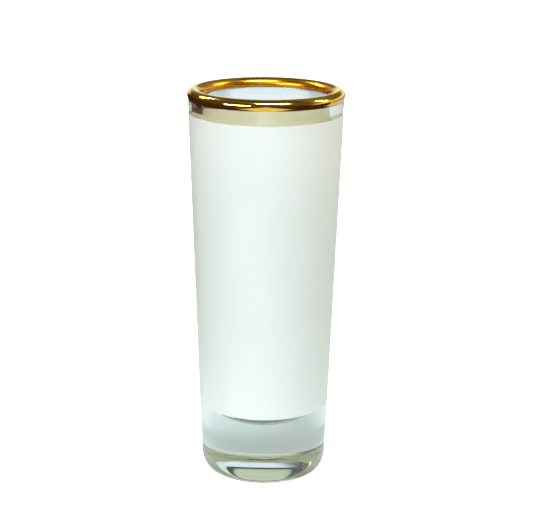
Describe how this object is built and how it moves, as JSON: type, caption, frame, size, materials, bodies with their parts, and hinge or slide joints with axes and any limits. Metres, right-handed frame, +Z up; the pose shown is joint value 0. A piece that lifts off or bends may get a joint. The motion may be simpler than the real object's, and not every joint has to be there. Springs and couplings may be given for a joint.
{
  "type": "shot glass",
  "caption": "Tall tapered clear shot glass with a heavy base and round-bottomed cavity, a white wraparound print panel under a clear top coat, and a gold band over the rim.",
  "frame": {"origin": "centre of the resting plane under the base", "axes": "+Z up along the glass's axis, from the base to the rim; X and Y are free, because the glass is round"},
  "size_m": [0.0412, 0.0412, 0.105],
  "materials": {
    "clear_glass": "polished, clear with a faint green-grey cast",
    "white_coat": "smooth white, cool on its outer side and cream where it is seen through the glass; it lets a little light through",
    "clear_coat": "clear, satin",
    "gold_film": "bright fired gold with a deep amber tone, very thin"
  },
  "bodies": {
    "root": {"glass_body": "clear_glass", "white_base_coat": "white_coat", "clear_top_coat": "clear_coat", "gold_rim": "gold_film"}
  },
  "joints": []
}
